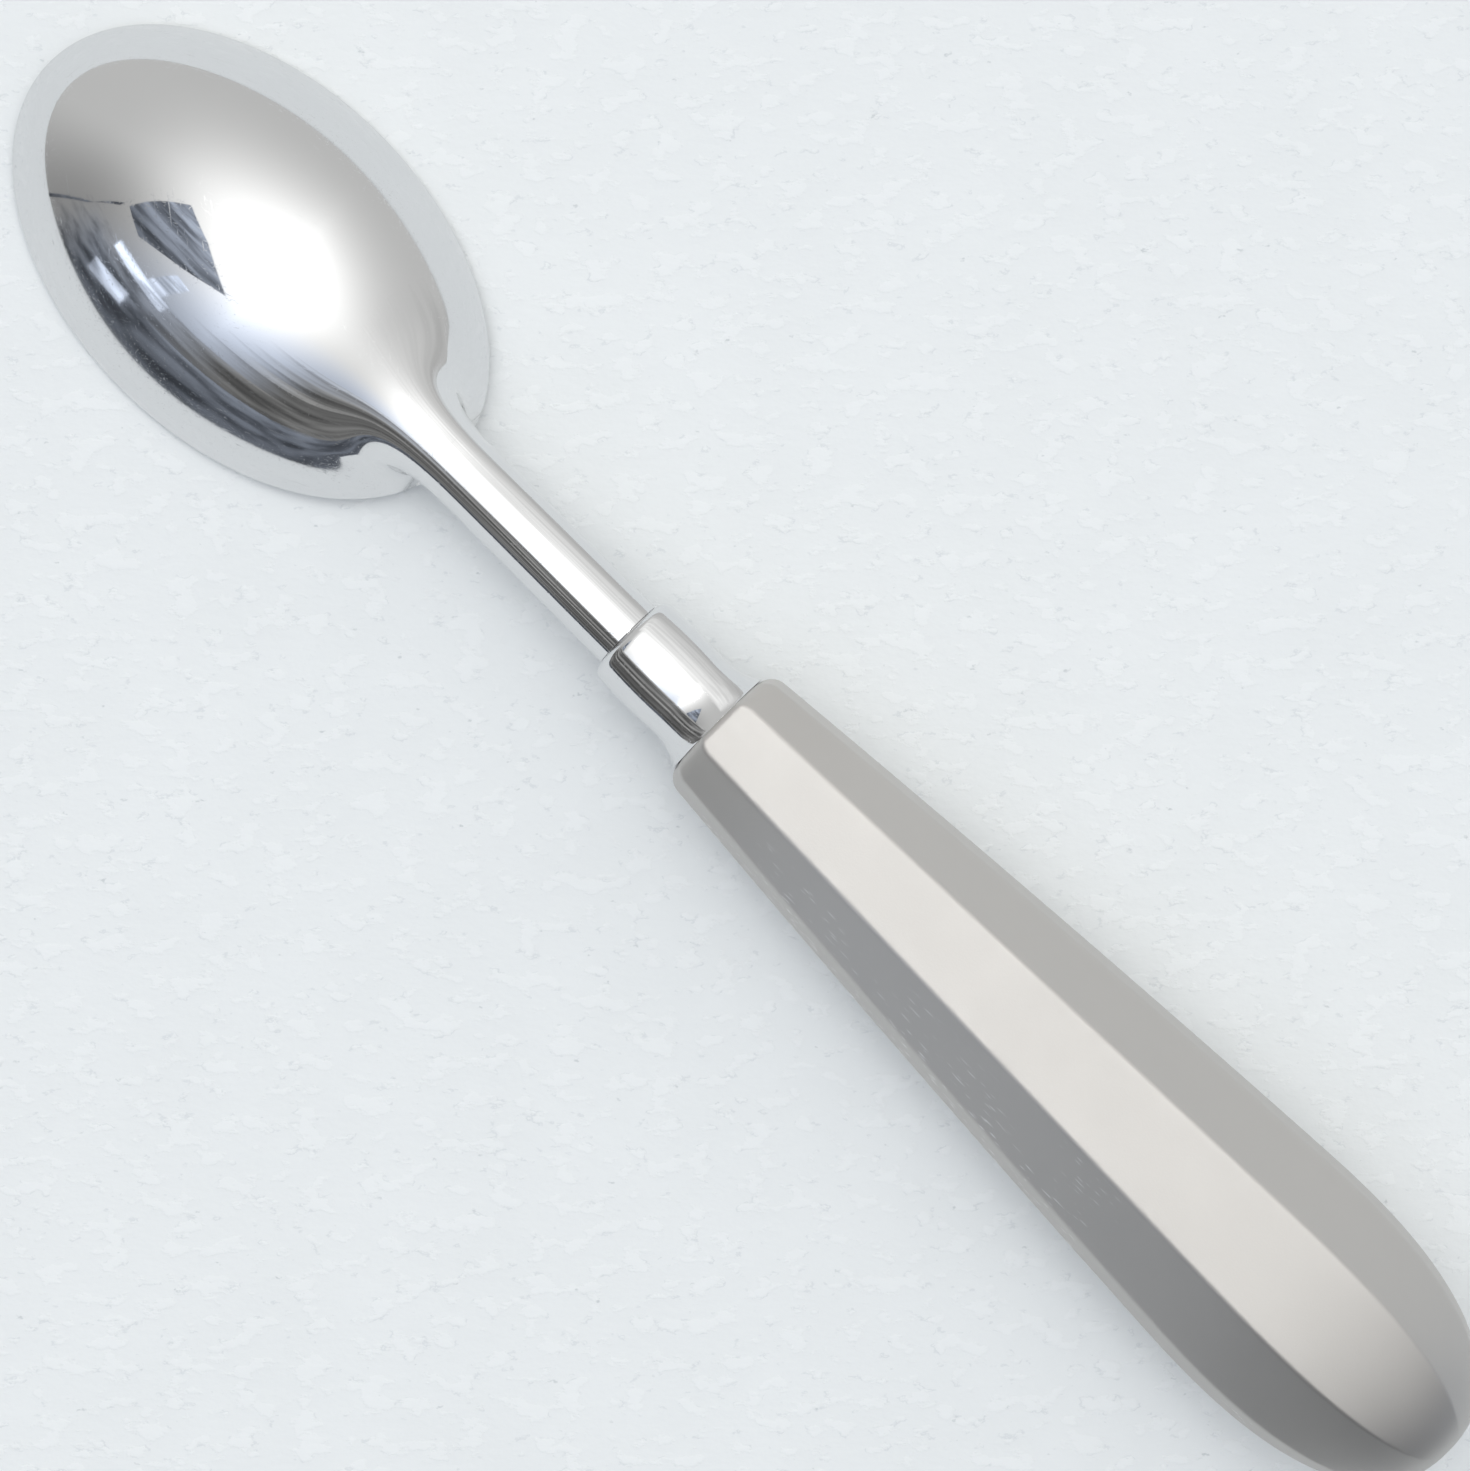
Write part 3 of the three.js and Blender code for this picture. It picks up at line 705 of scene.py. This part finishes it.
# Plaster of the table: pale and slightly cool, with raised flakes, painted shade along the edges of some of
# them and dark flecks.
def plaster():
    material, tree, shader = new_material("plaster", Roughness=0.85, Specular_IOR_Level=0.2)
    grain = place_coordinates(tree, (1, 1.6, 1), GRAIN_ANGLE)
    patch = noise(tree, place_coordinates(tree, (1, 1, 1)), 70, 5, 0.6)
    flake = noise(tree, grain, 320, 4, 0.55)
    raised = map_range(tree, flake, 0.54, 0.59, 0, 1)
    # A narrow dark band just outside some raised flakes: painted shade along their edges.
    outside = map_range(tree, flake, 0.5, 0.535, 0, 1)
    inside = map_range(tree, flake, 0.535, 0.56, 1, 0)
    some = map_range(tree, noise(tree, grain, 560, 2), 0.56, 0.66, 0, 1)
    painted_edge_shade = product(tree, product(tree, outside, inside), some)
    fleck = noise(tree, place_coordinates(tree, (1, 1.5, 1), GRAIN_ANGLE), 520, 3, 0.6)
    colour = mix_colour(tree, patch, (0.766, 0.794, 0.803, 1), (0.818, 0.846, 0.857, 1))
    colour = mix_colour(tree, product(tree, raised, 0.24), colour, (0.88, 0.905, 0.915, 1))
    colour = mix_colour(tree, product(tree, painted_edge_shade, 0.55), colour, (0.63, 0.665, 0.69, 1))
    colour = mix_colour(tree, map_range(tree, fleck, 0.68, 0.76, 0, 0.5), colour, (0.44, 0.48, 0.5, 1))
    height = math_node(tree, "ADD", math_node(tree, "ADD", flake, patch), product(tree, raised, 0.3))
    dress(tree, shader, colour, height, 0.25, 0.5 * MM)
    return material


# The table and the surroundings.
def build_table():
    skin = Skin()
    corners = [(-1, -1), (1, -1), (1, 1), (-1, 1)]
    skin.faces.append(tuple(skin.row([(TABLE_REACH * x, TABLE_REACH * y, 0) for x, y in corners])))
    table = skin.piece("table", plaster(), Matrix.Identity(4))


def build_surroundings():
    world = bpy.data.worlds.new("studio")
    bpy.context.scene.world = world
    world.use_nodes = True
    tree = world.node_tree
    direction = add_node(tree, "ShaderNodeTexCoord").outputs["Generated"]
    lengthwise, _, height = add_node(tree, "ShaderNodeSeparateXYZ", {0: direction}).outputs
    turned = add_node(tree, "ShaderNodeVectorMath", {0: direction, 1: LIGHT_SIDE}, operation="DOT_PRODUCT")
    toward = turned.outputs["Value"]
    wall = map_range(tree, toward, *WALL_TURNS, *WALL_TONES)
    to_tip = map_range(tree, lengthwise, GLOW_MIDDLE, GLOW_MIDDLE + GLOW_TO_TIP, 1, 0, False)
    to_butt = map_range(tree, lengthwise, GLOW_MIDDLE, GLOW_MIDDLE + GLOW_TO_BUTT, 1, 0, False)
    glow = math_node(tree, "POWER", math_node(tree, "MINIMUM", to_tip, to_butt), GLOW_FADE)
    up = math_node(tree, "POWER", math_node(tree, "MAXIMUM", height, 0), GLOW_HEIGHT)
    glow = product(tree, product(tree, glow, up), GLOW)
    background = tree.nodes["Background"]
    colour = mix_colour(tree, map_range(tree, toward, *COOL_TURNS, 0, 1), COOL, WHITE)
    tree.links.new(colour, background.inputs["Color"])
    tree.links.new(math_node(tree, "ADD", wall, glow), background.inputs["Strength"])


# Cards that only reflections show: plain or streaked. Some fade out towards their top and towards the tip.
def fade_out(tree, place, edge, reach, streak):
    """One at an edge and zero some way in from it, with a ragged border."""
    inward = math_node(tree, "SUBTRACT", place, product(tree, streak, reach))
    return map_range(tree, inward, edge - reach / 2, edge + reach / 2, 1, 0)


def card_material(name, colour, tones, low, high, streaks, fade, contrast):
    """Tones are those at the lower and upper edge, low and high the corners of the box round the card."""
    material = bpy.data.materials.new(name)
    material.use_nodes = True
    tree = material.node_tree
    place = add_node(tree, "ShaderNodeTexCoord").outputs["Object"]
    lengthwise, _, height = add_node(tree, "ShaderNodeSeparateXYZ", {0: place}).outputs
    tone = map_range(tree, height, low.z, high.z, *tones, False)
    if streaks:
        streak = noise(tree, place_coordinates(tree, (streaks / STREAK_STRETCH, streaks, streaks)), 1.0, 3)
        tone = product(tree, tone, map_range(tree, streak, *STREAK_RANGE, 1 - contrast, 1 + contrast))
    shader = add_node(tree, "ShaderNodeEmission", {"Color": colour, "Strength": tone})
    if fade:
        over = fade_out(tree, product(tree, height, -1), -high.z, fade[0], streak)
        beside = fade_out(tree, lengthwise, low.x, fade[1], streak)
        gone = math_node(tree, "MAXIMUM", over, beside)
        clear = add_node(tree, "ShaderNodeBsdfTransparent")
        shader = add_node(tree, "ShaderNodeMixShader", {0: gone, 1: shader.outputs[0], 2: clear.outputs[0]})
    tree.links.new(shader.outputs[0], tree.nodes["Material Output"].inputs["Surface"])
    return material


def add_card(name, colour, tones, faces, streaks=0, fade=None, contrast=STREAK_CONTRAST):
    corners = np.array([corner for face in faces for corner in face])
    low, high = Vector(corners.min(0)), Vector(corners.max(0))
    skin = Skin()
    for face in faces:
        skin.faces.append(tuple(skin.row(face)))
    material = card_material(name, colour, tones, low, high, streaks, fade, contrast)
    card = skin.piece(name, material, Matrix.Identity(4))
    card.visible_camera = False
    card.visible_diffuse = False
    card.visible_shadow = False


# The cards round the bowl.
def bowl_card_point(distance, lengthwise, sideways):
    away = math.radians(math.hypot(lengthwise, sideways))
    turn = math.atan2(sideways, lengthwise)
    flat = distance * math.sin(away)
    height = BOWL_RISE + distance * math.cos(away)
    return BOWL_CENTRE + Vector((flat * math.cos(turn), flat * math.sin(turn), height))


def build_bowl_cards():
    for name, (colour, tones, distance, corners) in BOWL_CARDS.items():
        streaks = BOWL_STREAKS / distance if colour == COOL else 0
        add_card(name, colour, tones, [[bowl_card_point(distance, *corner) for corner in corners]], streaks)


# The far side, the screen and the pale card over the butt.
def standing(places):
    """Quads that stand on the table between places."""
    quads = []
    for (x, y, height), (next_x, next_y, next_height) in zip(places, places[1:]):
        quads.append([(x, y, 0), (next_x, next_y, 0), (next_x, next_y, next_height), (x, y, height)])
    return quads


def build_screens():
    add_card("far_side", COOL, FAR_TONES, standing(FAR_SIDE), FAR_STREAKS, FAR_FADE)
    for i, (quad, tone) in enumerate(zip(standing(SCREEN), SCREEN_TONES)):
        add_card(f"screen_{i + 1}", COOL, (tone, tone), [quad], SCREEN_STREAKS)


def build_butt_card():
    add_card("butt_card", WHITE, (BUTT_TONE, BUTT_TONE), [BUTT_CARD])


# The strips beside the neck.
def strip_point(along, angle):
    turn = math.radians(angle)
    out = -math.sin(turn) * ACROSS + math.cos(turn) * AXIS_UP
    return BOWL_CENTRE + Vector(AXIS_ORIGIN + along * AXIS + STRIP_DISTANCE * out)


def strip(start, end, upper, lower):
    corners = ((start, upper), (end, upper), (end, lower), (start, lower))
    return [strip_point(*corner) for corner in corners]


def build_strips():
    ends = [angle for angle, _ in STRIPS[1:]] + [STRIPS_END]
    for i, ((upper, tone), lower) in enumerate(zip(STRIPS, ends)):
        start = STRIP_FROM + STRIP_SPREAD * (lower - STRIPS[0][0])
        dark = strip(start, STRIP_TO, upper, lower)
        add_card(f"dark_strip_{i + 1}", WHITE, (tone, tone), [dark], STRIP_STREAKS, STRIP_FADE)
    pale = [strip(PALE_FROM, PALE_TO, *bends) for bends in zip(PALE_BENDS, PALE_BENDS[1:])]
    add_card("pale_strip", WHITE, PALE_TONES, pale, STRIP_STREAKS, PALE_FADE, PALE_CONTRAST)


# The lamps and the camera.
def build_lamps():
    for name, (place, casts_shadows) in LAMPS.items():
        lamp = bpy.data.lights.new(name, "AREA")
        lamp.size = LAMP_SIZE
        lamp.energy = LAMP_POWER
        lamp.use_shadow = casts_shadows
        obj = bpy.data.objects.new(name, lamp)
        bpy.context.scene.collection.objects.link(obj)
        obj.location = place
        obj.rotation_euler = place.to_track_quat("Z", "Y").to_euler()
        obj.visible_glossy = False


def build_camera():
    camera = bpy.data.cameras.new("camera")
    obj = bpy.data.objects.new("camera", camera)
    bpy.context.scene.collection.objects.link(obj)
    place = CAMERA_AIM + Vector((0, CAMERA_SIDESTEP, CAMERA_HEIGHT))
    back = (place - CAMERA_AIM).normalized()
    spoon = Vector((1, 0, 0))
    spoon = (spoon - back * spoon.dot(back)).normalized()
    side = back.cross(spoon)
    right = spoon * math.cos(SPOON_ANGLE) + side * math.sin(SPOON_ANGLE)
    up = side * math.cos(SPOON_ANGLE) - spoon * math.sin(SPOON_ANGLE)
    obj.matrix_world = Matrix((right, up, back)).transposed().to_4x4()
    obj.location = place
    camera.sensor_fit = "HORIZONTAL"
    camera.lens = camera.sensor_width * (place - CAMERA_AIM).length / (PHOTO_WIDTH * TABLE_PER_PIXEL)
    bpy.context.scene.camera = obj


# Assembly.
mirror = polished_steel()
satin = satin_steel()
pieces = (
    (build_head(mirror), "spoon_head", "polished_steel"),
    (build_ferrule(mirror), "ferrule", "polished_steel"),
    (build_half("satin_upper_half", satin, 1), "handle_upper_shell", "satin_steel"),
    (build_half("satin_lower_half", satin, -1), "handle_lower_shell", "satin_steel"),
)
for piece, node, slot in pieces:
    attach(piece, "root")
    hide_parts(node)
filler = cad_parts["handle_filler"]
filler.data.materials.clear()
filler.data.materials.append(cement())

build_table()
build_surroundings()
build_bowl_cards()
build_screens()
build_butt_card()
build_strips()
build_lamps()
build_camera()
bpy.context.scene.view_settings.view_transform = "Standard"
